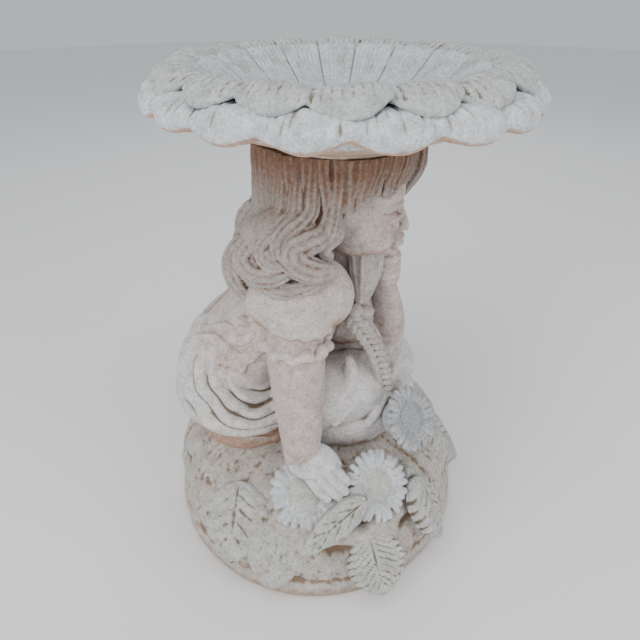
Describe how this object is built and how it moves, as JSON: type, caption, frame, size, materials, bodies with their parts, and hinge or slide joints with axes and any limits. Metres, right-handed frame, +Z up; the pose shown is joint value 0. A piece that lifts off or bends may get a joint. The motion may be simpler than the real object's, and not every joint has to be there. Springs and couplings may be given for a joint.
{
  "type": "bird bath",
  "caption": "Garden bird bath: a flower-shaped stone basin carried on the head of a seated child figure that leans on a mound of sunflowers and leaves.",
  "frame": {"origin": "the point on the ground under the basin's turning axis, on the plinth's flat underside", "axes": "+Z up along the basin's axis, +X the way the figure faces, its right arm on the -Y side"},
  "size_m": [0.4475, 0.4244, 0.6205],
  "materials": {
    "basin_stone": "matt cast stone with a weathered pale limewash, dirt in the grooves",
    "figure_stone": "matt pink-beige cast stone with worn pale limewash",
    "flower_stone": "matt cast stone, blue-grey grime between the petals",
    "mound_stone": "matt rough cast stone, soil and lichen stains",
    "dowel_steel": "plain galvanised rod"
  },
  "bodies": {
    "pedestal": {"bodice": "figure_stone", "braid": "figure_stone", "hair_cap": "figure_stone", "hair_curls_back": "figure_stone", "hair_curls_left": "figure_stone", "hair_curls_right": "figure_stone", "head": "figure_stone", "leaf_back": "mound_stone", "leaf_far": "mound_stone", "leaf_far_left": "mound_stone", "leaf_far_right": "mound_stone", "leaf_front": "mound_stone", "leaf_low": "mound_stone", "leaf_right": "mound_stone", "leaf_skirt": "mound_stone", "leaf_toe": "mound_stone", "left_forearm": "figure_stone", "left_hand": "figure_stone", "left_sleeve": "figure_stone", "left_upper_arm": "figure_stone", "mound": "mound_stone", "neck": "figure_stone", "plinth": "mound_stone", "right_arm": "figure_stone", "right_hand": "figure_stone", "right_sleeve": "figure_stone", "skirt_back": "figure_stone", "skirt_knee": "figure_stone", "skirt_lap": "figure_stone", "sunflower_front": "flower_stone", "sunflower_front_seeds": "flower_stone", "sunflower_hand": "flower_stone", "sunflower_hand_seeds": "flower_stone", "sunflower_knee": "flower_stone", "sunflower_knee_seeds": "flower_stone", "sunflower_rear": "flower_stone", "sunflower_rear_seeds": "flower_stone", "sunflower_side": "flower_stone", "sunflower_side_seeds": "flower_stone", "waist_sash": "figure_stone"},
    "dowel": {"locating_dowel": "dowel_steel"},
    "basin": {"bowl": "basin_stone", "upper_petals": "basin_stone", "lower_petals": "basin_stone", "seed_disc": "basin_stone"}
  },
  "joints": [
    {"name": "basin_lift", "type": "slide", "parent": "pedestal", "child": "dowel", "axis": [0, 0, 1], "range_m": [0, 0.12]},
    {"name": "basin_turn", "type": "hinge", "parent": "dowel", "child": "basin", "pos_m": [0, 0, 0.5303], "axis": [0, 0, 1], "continuous": true}
  ]
}
